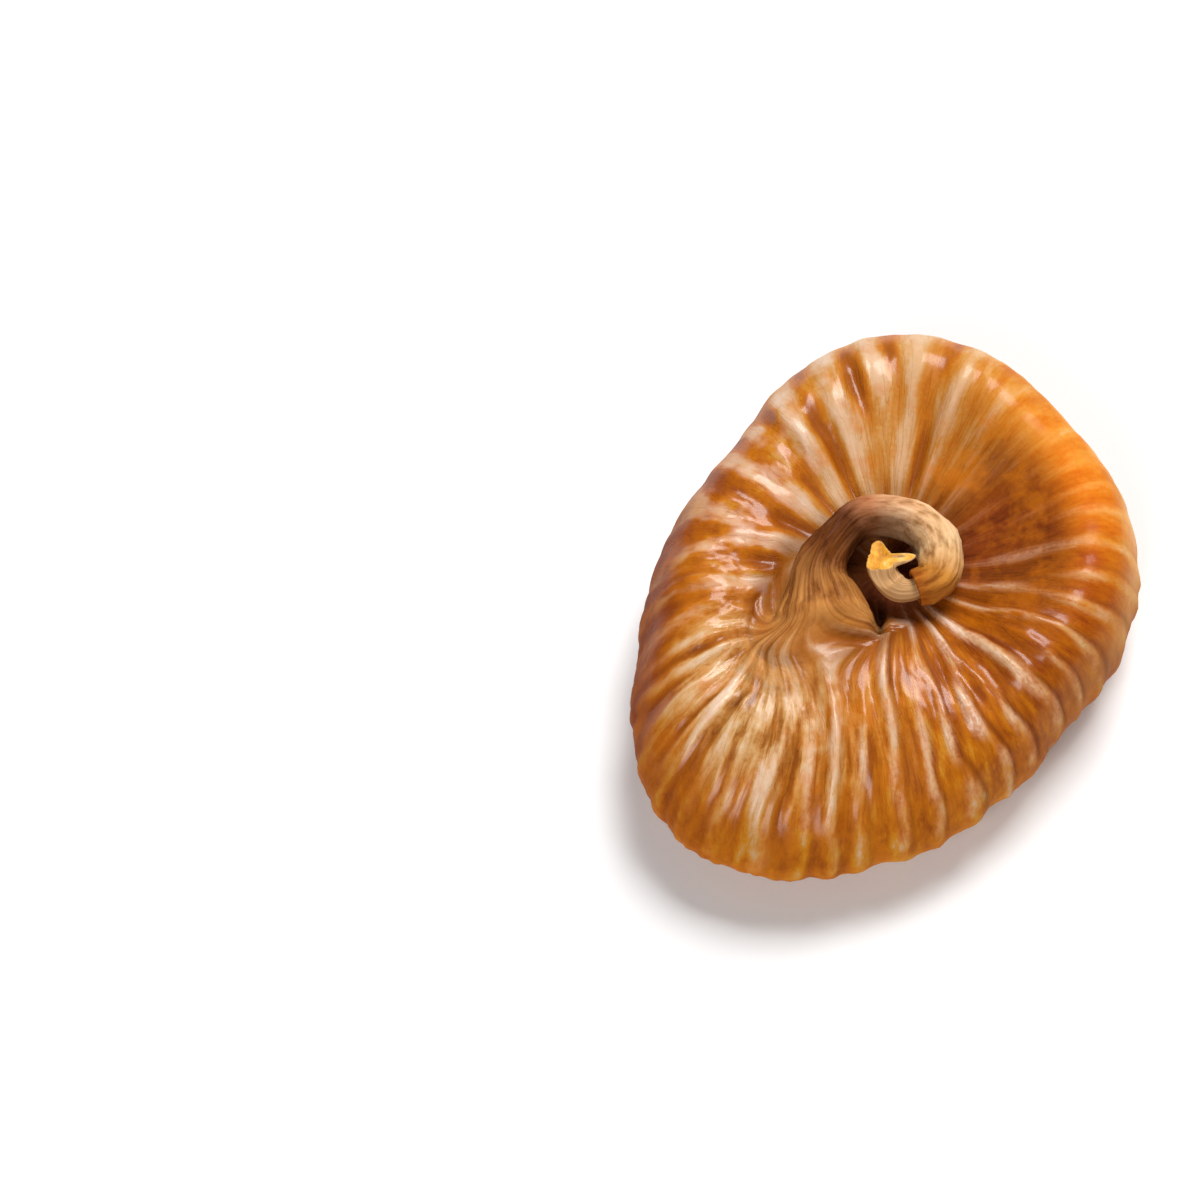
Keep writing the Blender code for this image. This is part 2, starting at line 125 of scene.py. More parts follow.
# The large relief, as the solids have it: ribs, lumps between creases, and dents.
RIB_CELLS, RIB_LENGTH, RIB_DEPTH, RIB_SEED = 64, 13.0 * MM, 0.5 * MM, 5
LUMP_CELLS, LUMP_LENGTH, LUMP_DEPTH, LUMP_SEED = 26, 8.0 * MM, 0.5 * MM, 11
DENT_CELLS, DENT_LENGTH, DENT_DEPTH, DENT_SEED = 8, 11.0 * MM, 0.8 * MM, 23
RIB_REGIONS = (  # compass angle, reach in degrees, change of strength
    (22.0, 42.0, -0.6),
    (238.0, 28.0, -0.3),
    (308.0, 42.0, 0.4),
)
PINCH_DEG, PINCH_REACH_DEG = 75.0, 80.0  # where the join under the neck is too tight for relief
CURL_AT = (-0.4 * MM, -0.4 * MM)  # the ribs of the upper face run out from here
SLIT_FROM, SLIT_TO = (-1.2 * MM, -4.4 * MM), (-1.4 * MM, -8.4 * MM)
SLIT_WIDTH, SLIT_DEPTH = 0.45 * MM, 2.0 * MM
HOLLOW_AT = (0.0, 0.4 * MM)
LOOP_AT = (0.0, 1.2 * MM)  # the middle of the neck's curl
SCALES, SCALE_DEPTH = 5, 0.14 * MM

# The small relief: folds with a crest or a crease, fine ribs, wrinkles and the shrivelled grain of the skin.
# Folds and fine ribs have two numbers of cells: near the neck, and at the rim, where they have forked.
FOLD_CELLS, BROAD_CELLS, FOLD_DEPTH, FOLD_SEED = (26, 44), (18, 28), 0.6 * MM, 41
FOLD_LASTING, BROAD_LASTING = 5.0 * MM, 4.0 * MM
HIGH_FOLD = 0.9 * MM  # a fold this high, from foot to crest, has the whole range of colour
WANDER_CELLS, WANDER_LENGTH, WANDER_BY, WANDER_SEED = 18, 7.0 * MM, 0.06, 97  # by this part of a radian
FINE_CELLS, FINE_LENGTH, FINE_DEPTH, FINE_SEED = (64, 150), 10.0 * MM, 0.22 * MM, 57
NECK_RELIEF = (  # cells round the neck, their length and depth: knots, wrinkles and fibres
    (9, 1.9 * MM, 0.24 * MM),
    (22, 0.9 * MM, 0.12 * MM),
    (54, 7.0 * MM, 0.1 * MM),
)
NECK_SEED = 83
WRINKLE_CELLS, WRINKLE_LENGTH, WRINKLE_DEPTH, WRINKLE_SEED = 110, 3.2 * MM, 0.12 * MM, 63
GRAIN_CELLS, GRAIN_LENGTH, GRAIN_DEPTH, GRAIN_SEED = 240, 0.9 * MM, 0.05 * MM, 71
WALL_RELIEF = 0.3  # how much of the relief is left on the side wall below the rim
DRAWN_OUT = 5.0  # how many times longer than wide the streaks of colour along the ribs are

# Where the skin differs: compass angle and reach in degrees. The first group is for its relief, and the
# second for its colours.
ZONES = {
    "flow": (238.0, 42.0),
    "crests": (308.0, 44.0),
    "fan_crests": (252.0, 20.0),
    "lumps": (150.0, 50.0),
    "back_lumps": (85.0, 35.0),
    "fan_ribs": (236.0, 34.0),
    "calm": (38.0, 30.0),
    "smooth_rim": (320.0, 50.0),
    "near_wall": (270.0, 60.0),

    "fan": (233.0, 30.0),
    "drying": (232.0, 42.0),
    "drawn_out": (240.0, 46.0),
    "deep": (20.0, 40.0),
    "painted_glow": (22.0, 38.0),
    "edge": (20.0, 48.0),
    "pale": (86.0, 34.0),
    "front": (300.0, 48.0),
    "left": (155.0, 52.0),
    "left_rim": (188.0, 44.0),
    "low_right": (330.0, 28.0),
}

FRUIT_COLUMNS = 540
NECK_ROWS, JOIN_ROWS, BODY_ROWS = 30, 9, 132


def bell(theta, at_deg, reach_deg):
    """1 at a compass angle, falling softly to 0 on both sides of it."""
    away = (np.degrees(theta) - at_deg + 180.0) % 360.0 - 180.0
    return np.exp(-((away / reach_deg) ** 2))


def smooth(x, low, high):
    """0 below low, 1 above high, and a soft step between."""
    x = np.clip((np.asarray(x, float) - low) / (high - low), 0.0, 1.0)
    return x * x * (3.0 - 2.0 * x)


def curve(points, t, measured):
    """A smooth curve through points, at t from 0 to 1 along the chords of the first `measured` columns."""
    points = np.asarray(points, float)
    before, after = 2.0 * points[0] - points[1], 2.0 * points[-1] - points[-2]
    padded = np.vstack([before, points, after])
    chords = np.linalg.norm(np.diff(points[:, :measured], axis=0), axis=1)
    stations = np.concatenate([[0.0], np.cumsum(chords)])
    x = np.asarray(t, float) * stations[-1]
    i = np.clip(np.searchsorted(stations, x, side="right") - 1, 0, len(points) - 2)
    u = ((x - stations[i]) / (stations[i + 1] - stations[i]))[..., None]
    a, b, c, e = padded[i], padded[i + 1], padded[i + 2], padded[i + 3]
    cubic = (3.0 * b - a - 3.0 * c + e) * u**3
    square = (2.0 * a - 5.0 * b + 4.0 * c - e) * u**2
    return 0.5 * (2.0 * b + (c - a) * u + square + cubic)


def length_of(points, measured):
    """The length of the straight pieces between points, in the first `measured` columns."""
    points = np.asarray(points, float)[:, :measured]
    return float(np.linalg.norm(np.diff(points, axis=0), axis=1).sum())


def plan_radius(theta):
    """How far the rim lies from the middle: an oval, with its swells and dents."""
    turned = theta - math.radians(LONG_AXIS_DEG)
    radius = 1.0 / np.hypot(np.cos(turned) / HALF_LENGTH, np.sin(turned) / HALF_WIDTH)
    for at, reach, change in PLAN_SWELLS:
        radius = radius + change * bell(theta, at, reach)
    return radius


def spaced_angles(columns):
    """Compass angles that divide the rim of the plan into equal lengths, and the share of a turn of each."""
    fine = np.linspace(0.0, TURN, 2001)
    radius = plan_radius(fine)
    steps = np.hypot(np.diff(radius * np.cos(fine)), np.diff(radius * np.sin(fine)))
    walked = np.concatenate([[0.0], np.cumsum(steps)])
    turn = np.linspace(0.0, TURN, columns, endpoint=False)
    return np.interp(turn / TURN * walked[-1], walked, fine), turn


def profile_table():
    """The cross-section in metres, so that its length can be measured."""
    rows = np.array(PROFILE)
    rows[:, 0] *= MEAN_RADIUS
    return rows


def body_ring(t, theta):
    """A ring of the smooth body, t from 0 in the hollow to 1 at the eye, and its share of the radius."""
    distance, deep, left_high, fan_high = curve(profile_table(), t, 4)
    share = max(distance / MEAN_RADIUS, 0.0)
    left = bell(theta, LEFT_DEG, LEFT_REACH_DEG)
    fan = bell(theta, FAN_DEG, FAN_REACH_DEG)
    over = np.maximum(left + fan, 1.0)
    left, fan = left / over, fan / over
    z = deep * (1.0 - left - fan) + left_high * left + fan_high * fan
    z = np.maximum(z - SETTLED, 0.0)
    lean = ((1.0 - share) / (1.0 - PROFILE[0][0])) ** 2 if t < 0.5 else 0.0
    radius = plan_radius(theta) * share
    spread = bell(theta, SPREAD_DEG, SPREAD_REACH_DEG)
    x = (ROOT_X + SPREAD_X * spread) * lean + radius * np.cos(theta)
    y = (ROOT_Y + SPREAD_Y * spread) * lean + radius * np.sin(theta)
    return np.stack([x, y, z], -1), share


def frames(path, t):
    """Along a path: the middle, the radius, two directions across and the direction onwards."""
    steps = np.linspace(0.0, 1.0, 400)
    line = curve(path, steps, 3)
    onwards = np.gradient(line[:, :3], axis=0)
    onwards /= np.linalg.norm(onwards, axis=1)[:, None]
    side = np.empty_like(onwards)
    across = np.array([1.0, 0.0, 0.0])
    for i, ahead in enumerate(onwards):
        across = across - ahead * (across @ ahead)
        across /= np.linalg.norm(across)
        side[i] = across
    up = np.cross(onwards, side)
    columns = np.hstack([line, side, up, onwards])
    found = np.stack([np.interp(t, steps, column) for column in columns.T], -1)
    return found[..., :3], found[..., 3], found[..., 4:7], found[..., 7:10], found[..., 10:13]


def ring(middle, radius, side, up, theta):
    """Points round a middle, in the plane of two directions."""
    return middle + radius * (np.cos(theta)[:, None] * side + np.sin(theta)[:, None] * up)


def noise(turn, along, cells, length, seed):
    """Smooth noise from about -1 to 1 that closes round the fruit and is drawn out along the ribs."""
    count = 16
    slopes = np.random.default_rng(seed).uniform(-1.0, 1.0, (cells, count, 2))
    u = (turn / TURN * cells) % cells
    v = (along / length) % count
    i, j = np.floor(u).astype(int), np.floor(v).astype(int)
    total = 0.0
    for di in (0, 1):
        for dj in (0, 1):
            du, dv = u - i - di, v - j - dj
            slope = slopes[(i + di) % cells, (j + dj) % count]
            weight = (1.0 - smooth(np.abs(du), 0.0, 1.0)) * (1.0 - smooth(np.abs(dv), 0.0, 1.0))
            total = total + weight * (1.6 * slope[..., 0] * du + 0.8 * slope[..., 1] * dv)
    return 1.6 * total


def rib_strength(theta):
    """How strong the ribs are at each compass angle, about 1."""
    strength = np.ones_like(theta)
    for at, reach, change in RIB_REGIONS:
        strength = strength + change * bell(theta, at, reach)
    return strength


def body_stations(count):
    """Where the body's rings lie: close over the upper face and the rim, far apart on the flat."""
    steps = np.linspace(0.0, 1.0, 600)
    share = curve(profile_table(), steps, 4)[:, 0] / MEAN_RADIUS
    under = steps > 0.5
    flat = under & (share > FLAT_FROM + 0.03) & (share < FLAT_TO - 0.03)
    weight = np.where(flat, 0.2, np.where(under, 0.5, np.where(share < 0.5, 1.6, 1.0)))
    reached = np.concatenate([[0.0], np.cumsum(0.5 * (weight[1:] + weight[:-1]))])
    return np.interp(np.linspace(0.0, reached[-1], count), reached, steps)


theta, turn = spaced_angles(FRUIT_COLUMNS)
middle, radius, side, up, onwards = frames(NECK, np.linspace(1.0, 0.0, NECK_ROWS))
neck_length, body_length = length_of(NECK, 3), length_of(profile_table(), 4)
pinched = bell(theta, PINCH_DEG, PINCH_REACH_DEG)
open_ring = np.ones_like(theta)
rings, alongs, shares, freedoms, necks = [], [], [], [], []


def lay(points, along, share, freedom, neck):
    """Adds a ring, how far along the ribs it lies, its share of the radius, how free its relief is, and 1 on
    the neck or 0 on the body."""
    rings.append(points)
    alongs.append(along)
    shares.append(share)
    freedoms.append(freedom * open_ring)
    necks.append(neck)


for reach, offset in SOCKET:
    lay(ring(middle[0] + offset * onwards[0], reach, side[0], up[0], theta), 0.0, 0.0, 0.0, 1.0)
for i in range(NECK_ROWS):
    away = i / (NECK_ROWS - 1)
    reach = radius[i] * (1.0 - NECK_FLATTENED * smooth(away, 0.7, 1.0) * np.maximum(np.sin(theta), 0.0))
    points = ring(middle[i], reach[:, None], side[i], up[i], theta)
    free = smooth(away, 0.0, 0.12) * (1.0 - pinched * smooth(away, 0.8, 1.0))
    lay(points, neck_length * away, 0.0, free, 1.0)

start, (end, share) = rings[-1], body_ring(0.0, theta)
outwards = body_ring(0.01, theta)[0] - end
outwards /= np.linalg.norm(outwards, axis=1)[:, None]
gap = np.linalg.norm(end - start, axis=1)[:, None]
leave, arrive = -1.1 * onwards[-1] * gap, outwards * gap
for u in np.linspace(0.0, 1.0, JOIN_ROWS + 2)[1:-1]:
    from_start = (2.0 * u**3 - 3.0 * u**2 + 1.0) * start + (u**3 - 2.0 * u**2 + u) * leave
    to_end = (3.0 * u**2 - 2.0 * u**3) * end + (u**3 - u**2) * arrive
    lay(from_start + to_end, neck_length + JOIN_LENGTH * u, share, 1.0 - pinched, 1.0 - u)
rim_row = len(rings) + BODY_ROWS
for t in body_stations(BODY_ROWS):
    points, share = body_ring(t, theta)
    if share > 0.985:
        rim_row = min(rim_row, len(rings))
    near = 1.0 - pinched * (1.0 - smooth(share, PROFILE[0][0], 0.36))
    free = near if t < 0.5 else smooth(share, FLAT_TO, 0.95)
    lay(points, neck_length + JOIN_LENGTH + body_length * t, share, free, 0.0)

skin_points = np.array(rings)
shape = skin_points.shape[:2]
along = np.broadcast_to(np.array(alongs)[:, None], shape)
share = np.broadcast_to(np.array(shares)[:, None], shape)
neck = np.broadcast_to(np.array(necks)[:, None], shape)
freedom = np.array(freedoms)
theta_all, turn_all = np.broadcast_to(theta, shape), np.broadcast_to(turn, shape)
zone = {name: bell(theta_all, *place) for name, place in ZONES.items()}
under = (np.arange(len(rings)) > len(rings) // 2)[:, None] & (share < 0.95)

# How wide the skin is gathered: 1 at the rim and about a tenth on the neck. Relief shrinks with it.
round_fruit = np.roll(skin_points, -1, axis=1) - np.roll(skin_points, 1, axis=1)
width = np.linalg.norm(round_fruit, axis=2) / (2.0 * TURN / FRUIT_COLUMNS) / MEAN_RADIUS

# In the fan the ribs flow on from the neck. Elsewhere on the upper face they run straight out from its curl.
upper = np.arange(len(rings))[:, None] <= rim_row
from_curl = skin_points[..., :2] - np.array(CURL_AT)
compass = np.arctan2(from_curl[..., 1], from_curl[..., 0]) % TURN
straight = np.interp(compass, np.append(theta, TURN), np.append(turn, TURN))
freely = (1.0 - neck) * upper * (1.0 - smooth(share, 0.8, 0.98)) * (1.0 - zone["flow"])
turn_all = turn_all + freely * ((straight - turn_all + math.pi) % TURN - math.pi)
width = width + freely * (np.hypot(from_curl[..., 0], from_curl[..., 1]) / MEAN_RADIUS - width)

strength = rib_strength(theta_all)
ribs = noise(turn_all, along, RIB_CELLS, RIB_LENGTH, RIB_SEED)
lumps = noise(turn_all, along, LUMP_CELLS, LUMP_LENGTH, LUMP_SEED)
dents = noise(turn_all, along, DENT_CELLS, DENT_LENGTH, DENT_SEED)
broad = RIB_DEPTH * width * strength * ribs
broad = broad + LUMP_DEPTH * width**0.8 * (0.4 + 0.6 * strength) * lumps
broad = broad + DENT_DEPTH * width * dents


def folded(cells, lasting, seed):
    """Folds that wander, rise and sink: how near a point is to a crest, its side, and its height."""
    wandering = 0.32 * noise(turn_all, along, cells // 2, 11.0 * MM, seed)
    wandering = wandering + 0.05 * noise(turn_all, along, cells, 4.0 * MM, seed + 1)
    phase = cells * turn_all + TURN * wandering
    swelling = np.clip(0.62 + 0.8 * noise(turn_all, along, cells, lasting, seed + 2), 0.0, 1.2)
    return np.array([np.cos(phase), np.sin(phase), swelling])


def forking(cells, lasting, seed):
    """Folds that fork on their way out, from the first number of them to the second."""
    return folded(cells[0], lasting, seed) * (1.0 - forked) + folded(cells[1], lasting, seed + 3) * forked


# Towards the front the folds stand up as crests, on the left and at the back they are broad and round with
# creases between, and on the deep side they hardly show above the rim.
forked = smooth(width, 0.4, 0.85)
crest = np.maximum(zone["crests"], 0.4 * zone["fan_crests"] * smooth(share, 0.45, 0.7))
lumpy = np.minimum(zone["lumps"] + 0.7 * zone["back_lumps"], 1.0)
thin = forking(FOLD_CELLS, FOLD_LASTING, FOLD_SEED)
thick = forking(BROAD_CELLS, BROAD_LASTING, FOLD_SEED + 6)
near_crest, beside, swelling = thin * (1.0 - lumpy) + thick * lumpy
ridge = swelling * (0.5 + 0.5 * near_crest) ** 2.2
crease = swelling * (0.5 - 0.5 * near_crest) ** 4
below_rim = smooth(along - alongs[rim_row], 0.0, 5.0 * MM)
calm = zone["calm"] * smooth(share, 0.4, 0.65) * (1.0 - 0.8 * below_rim)
folds = crest * (1.8 * ridge - 0.6) + lumpy * (0.3 + 0.75 * swelling * near_crest - 0.9 * crease)
folds = folds + 0.3 * (1.0 - crest) * (1.0 - lumpy) * near_crest
folds = folds * (1.0 - 0.8 * calm) * (1.0 - (0.75 - 0.35 * smooth(share, 0.45, 0.7)) * zone["fan_ribs"])

# Fine ribs, most of them in the fan, and wrinkles and grain, which fade in the hollow.
wander = WANDER_BY * noise(turn_all, along, WANDER_CELLS, WANDER_LENGTH, WANDER_SEED)
fine = (1.0 - forked) * noise(turn_all + 0.5 * wander, along, FINE_CELLS[0], FINE_LENGTH, FINE_SEED)
fine = fine + forked * noise(turn_all + 0.5 * wander, along, FINE_CELLS[1], FINE_LENGTH, FINE_SEED + 1)
wrinkles = noise(turn_all + 1.3 * wander, along, WRINKLE_CELLS, WRINKLE_LENGTH, WRINKLE_SEED)
wrinkles = (1.0 - 1.6 * np.abs(wrinkles)) * (0.15 + 0.4 * strength) * (1.0 - 0.6 * lumpy)
grain = noise(turn_all, along, GRAIN_CELLS, GRAIN_LENGTH, GRAIN_SEED)
fading = 1.0 - 0.7 * freely * (1.0 - smooth(share, 0.3, 0.6))
small = FOLD_DEPTH * width**0.7 * folds
small = small + FINE_DEPTH * width * (0.2 + 1.5 * zone["fan_ribs"] + 0.2 * crest) * fine
small = small + WRINKLE_DEPTH * np.sqrt(width) * wrinkles * fading
small = small + GRAIN_DEPTH * width * grain * fading

# The neck has knots and wrinkles of its own, and fibres where it leaves the body.
knots, neck_wrinkles, fibres = (
    depth * noise(turn_all, along, cells, length, NECK_SEED + i)
    for i, (cells, length, depth) in enumerate(NECK_RELIEF)
)
fibrous = smooth(along / neck_length, 0.55, 0.85)
small = small * (1.0 - 0.85 * neck) + smooth(neck, 0.0, 0.8) * (knots + neck_wrinkles + fibres * fibrous)
broad = broad * (1.0 - 0.8 * neck)

# The ribs fade over the rim, whose outline is nearly smooth, and the small ones come back on the side wall.
past_rim = np.where(np.arange(len(rings))[:, None] > rim_row, 1.0, smooth(share, 0.62, 0.92))
on_wall = smooth(along - alongs[rim_row], 1.0 * MM, 5.0 * MM) * (1.0 - 0.8 * zone["near_wall"])
left_over = 1.0 - past_rim * (0.6 + 0.35 * np.maximum(zone["smooth_rim"], lumpy)) + 0.35 * on_wall
height = (broad * (1.0 - (1.0 - WALL_RELIEF) * past_rim) + small * left_over) * freedom

# A deep slit runs forward from the stalk, where the fan folds over the front of the hollow.
slit_from, slit_to = np.array(SLIT_FROM), np.array(SLIT_TO)
ahead = (slit_to - slit_from) / np.linalg.norm(slit_to - slit_from)
off = skin_points[..., :2] - slit_from
walked = off @ ahead / np.linalg.norm(slit_to - slit_from)
aside = off[..., 0] * ahead[1] - off[..., 1] * ahead[0]
in_slit = np.exp(-((aside / SLIT_WIDTH) ** 2)) * smooth(walked, -0.35, 0.1)
in_slit = in_slit * (1.0 - smooth(walked, 0.6, 1.15)) * (neck < 0.7)
in_slit = in_slit * (np.arange(len(rings))[:, None] < rim_row)

down_fruit = np.gradient(skin_points, axis=0)
normal = np.cross(down_fruit, round_fruit)
normal /= np.maximum(np.linalg.norm(normal, axis=2), 1e-12)[..., None]
skin_points = skin_points + normal * height[..., None]
skin_points[..., 2] -= SLIT_DEPTH * in_slit
scales = smooth(share, 0.015, 0.05) * (1.0 - smooth(share, 0.06, 0.1)) * under
skin_points[..., 2] += SCALE_DEPTH * scales * np.cos(SCALES * theta)
skin_points[0] = skin_points[0].mean(axis=0)
skin_points[-1] = skin_points[-1].mean(axis=0)
skin_points = skin_points + np.array(PLAN_MIDDLE)


def sheet_of(name, grid):
    """A closed mesh through the rings of the grid; its first and last rings are single points."""
    rows, columns = grid.shape[:2]
    body = grid[1:-1].reshape(-1, 3)
    points = np.vstack([grid[0, :1], body, grid[-1, :1]])
    row, column = np.meshgrid(np.arange(rows - 3), np.arange(columns), indexing="ij")
    after = (column + 1) % columns
    first = 1 + row * columns
    quads = np.stack([first + column, first + columns + column, first + columns + after, first + after], -1)
    faces = quads.reshape(-1, 4).tolist()
    last = len(points) - 1
    for j in range(columns):
        k = (j + 1) % columns
        faces.append((0, 1 + j, 1 + k))
        faces.append((last, last - columns + k, last - columns + j))
    mesh = bpy.data.meshes.new(name)
    mesh.from_pydata(points.tolist(), [], faces)
    mesh.update()
    mesh.shade_smooth()
    thing = bpy.data.objects.new(name, mesh)
    bpy.context.scene.collection.objects.link(thing)
    return thing


def paint(thing, name, values):
    """Stores one number for each point of the grid, for the material to read."""
    values = values.astype(np.float32)
    flat = np.concatenate([values[0, :1], values[1:-1].ravel(), values[-1, :1]])
    attribute = thing.data.attributes.new(name, "FLOAT", "POINT")
    attribute.data.foreach_set("value", flat)


# What the material needs to know at each point: where it is on the skin, and how much of each feature it has.
# The colours of the upper face run out on the side wall, where the skin is plainer.
over_rim = 1.0 - smooth(along - alongs[rim_row], -1.0 * MM, 6.0 * MM)
body = over_rim * (1.0 - neck)
loop_away = np.hypot(skin_points[..., 0] - HOLLOW_AT[0], skin_points[..., 1] - HOLLOW_AT[1])
loop_inside = np.hypot(skin_points[..., 0] - LOOP_AT[0], skin_points[..., 1] - LOOP_AT[1])
low_down = 1.0 - smooth(skin_points[..., 2], 10.6 * MM, 12.4 * MM)
fading_out = 1.0 - 0.7 * smooth(share, 0.78, 0.97)
drying = zone["drying"] * (1.0 - smooth(share, 0.26, 0.6)) * upper * (neck < 0.99)
# Painted shade on the left rim; the lower right is darker.
left_rim = zone["left_rim"] * np.where(upper, smooth(share, 0.7, 0.96), 1.0)
low_right = 0.55 * zone["low_right"] * np.where(upper, smooth(share, 0.32, 0.6), 1.0)
standing = (0.25 + 0.75 * over_rim) * small / (HIGH_FOLD * np.maximum(width, 0.15) ** 0.7)
features = {
    "round_x": MEAN_RADIUS / MM * np.cos(turn_all),
    "round_y": MEAN_RADIUS / MM * np.sin(turn_all),
    "along": along / MM / DRAWN_OUT,
    "rise": np.clip(0.5 + standing, 0.0, 1.0),
    # The ridge is a dry crest with a painted highlight on it; the foot is a line of painted shadow beside
    # each fold.
    "ridge": crest * body * fading_out * np.clip(1.8 * ridge - 0.4, 0.0, 1.0),
    "foot": crest * body * np.clip(beside, 0.0, 1.0) ** 6,
    # Painted shade: the creases on the left, the slit, the hollow under the curl and the valley beside the
    # neck are darkened.
    "crease": np.clip(crease, 0.0, 1.0) * zone["left"] * (1.0 - smooth(share, 0.7, 0.9)) * body,
    "slit": in_slit,
    "hollow": (1.0 - smooth(loop_away, 3.2 * MM, 6.0 * MM)) * low_down * upper,
    "valley": (1.0 - smooth(share, 0.25, 0.4)) * (1.0 - zone["drawn_out"]) * upper * (neck < 0.6),
    "neck": np.maximum(smooth(neck, 0.0, 0.9), 0.75 * drying),
    # Painted shade inside the neck's curl.
    "inside_shade": neck * (1.0 - smooth(loop_inside, 1.9 * MM, 4.3 * MM)),
    "curl": np.minimum(along / neck_length, 1.5),
    "fibrous": fibrous,
    "over_rim": over_rim,
    "rim": np.where(upper, smooth(share, 0.84, 1.0), 1.0),
    "fan": zone["fan"] * smooth(0.95 - share, 0.0, 0.3) * (1.0 - 0.8 * neck) * upper,
    # Painted shade: the deep slope, which faces away from the light, is darkened to red-brown.
    "deep": zone["deep"] * (1.0 - smooth(share, 0.7, 0.84)) * (1.0 - neck) * upper,
    # Painted light: the thin rim of the deep side glows orange and has a pale edge, as if lit through from
    # behind.
    "painted_glow": zone["painted_glow"] * smooth(share, 0.66, 0.82) * over_rim,
    "edge": zone["edge"] * smooth(share, 0.9, 1.0) * over_rim,
    "pale": zone["pale"] * body,
    "front": zone["front"] * body,
    "left": zone["left"] * body,
    "left_rim": left_rim,
    "darkened": np.maximum(left_rim, low_right),
}
fig = sheet_of("fig_skin", skin_points)
for name, values in features.items():
    paint(fig, name, values)


def linear(colour):
    """A colour written as sRGB hex, as linear red, green, blue and alpha."""
    parts = [int(colour[i:i + 2], 16) / 255.0 for i in (1, 3, 5)]
    parts = [c / 12.92 if c <= 0.04045 else ((c + 0.055) / 1.055) ** 2.4 for c in parts]
    return (*parts, 1.0)


def add(tree, kind, inputs=(), output=0, stops=(), **settings):
    """Adds a node and returns one of its outputs. An input is a value, or the output that feeds it."""
    made = tree.nodes.new(kind)
    for name, value in settings.items():
        setattr(made, name, value)
    for name, value in dict(inputs).items():
        if isinstance(value, bpy.types.NodeSocket):
            tree.links.new(value, made.inputs[name])
        else:
            made.inputs[name].default_value = value
    if stops:
        elements = made.color_ramp.elements
        while len(elements) < len(stops):
            elements.new(0.5)
        for element, (position, colour) in zip(elements, stops):
            element.position, element.color = position, linear(colour)
    return made.outputs[output]


def weighed(tree, total, parts):
    """Adds values to a total, each times its weight, which may be a pattern or a mark too."""
    for value, weight in parts:
        total = add(tree, "ShaderNodeMath", {0: value, 1: weight, 2: total}, operation="MULTIPLY_ADD")
    return total


def layered(tree, colour, layers):
    """Lays colours over one another. A layer is its mask, its strength, its colour and how it blends."""
    for mask, strength, over, blend in layers:
        factor = weighed(tree, 0.0, ((mask, strength),))
        sockets = {0: factor, 6: colour, 7: over}  # of a colour mix: the factor and the two colours
        colour = add(tree, "ShaderNodeMix", sockets, 2, data_type="RGBA", blend_type=blend)
    return colour


# Sun-dried fig skin: a thin leathery skin over sugary flesh, dipped and drained, so it is glossy and sticky.
# Light goes a little way into it, which makes it amber where it is thin.
skin = bpy.data.materials.new("sun_dried_fig_skin")
skin.use_nodes = True
tree = skin.node_tree
shader = tree.nodes["Principled BSDF"]
mark = {name: add(tree, "ShaderNodeAttribute", output="Fac", attribute_name=name) for name in features}

# Patterns follow the ribs, along which they are drawn out, or lie in the flesh. All are in millimetres.
on_ribs = add(tree, "ShaderNodeCombineXYZ", {0: mark["round_x"], 1: mark["round_y"], 2: mark["along"]})
here = add(tree, "ShaderNodeTexCoord", output="Object")
places = {"ribs": on_ribs}
for name, start, stretch in (
    ("flesh", here, (1.0 / MM, 1.0 / MM, 1.0 / MM)),
    ("short", on_ribs, (1.0, 1.0, 2.2)),
    ("neck", on_ribs, (0.085, 0.085, 2.5)),
    ("fibres", on_ribs, (0.42, 0.42, 0.8)),
):
    places[name] = add(tree, "ShaderNodeVectorMath", {0: start, 1: stretch}, operation="MULTIPLY")
pattern = {}
for name, place, grain, detail in (  # the size of the grain, in millimetres of its place
    ("broad_streaks", "ribs", 2.857, 3.0),
    ("narrow_streaks", "ribs", 0.769, 3.0),
    ("hairs", "ribs", 0.2941, 2.0),
    ("creases", "ribs", 0.909, 1.0),
    ("patches", "short", 2.0, 2.0),
    ("wide_patches", "flesh", 2.941, 2.0),
    ("blotches", "flesh", 3.571, 3.0),
    ("lumps", "flesh", 1.667, 3.0),
    ("specks", "flesh", 0.3846, 4.0),
    ("mottle", "neck", 1.0, 3.0),
    ("fibres", "fibres", 1.0, 3.0),
):
    settings = {"Vector": places[place], "Scale": 1.0 / grain, "Detail": detail, "Roughness": 0.6}
    pattern[name] = add(tree, "ShaderNodeTexNoise", settings, "Fac")

# On the left the patches are as wide as long.
wider = weighed(tree, 0.0, ((pattern["wide_patches"], 0.7), (pattern["patches"], -0.7)))
patches = weighed(tree, pattern["patches"], ((wider, mark["left"]),))
# Fine creases are drawn where a pattern is near one half, and end at the rim and where light comes through.
crease_away = weighed(tree, -0.5, ((pattern["creases"], 1.0),))
crease_away = add(tree, "ShaderNodeMath", {0: crease_away}, operation="ABSOLUTE")
crease_range = {0: crease_away, 1: 0.0, 2: 0.03, 3: 1.0, 4: 0.0}
fine_creases = add(tree, "ShaderNodeMapRange", crease_range, interpolation_type="SMOOTHSTEP")
fine_creases = weighed(tree, 0.0, ((fine_creases, weighed(tree, 1.0, ((mark["painted_glow"], -0.8),))),))
fine_creases = weighed(tree, 0.0, ((fine_creases, mark["over_rim"]),))

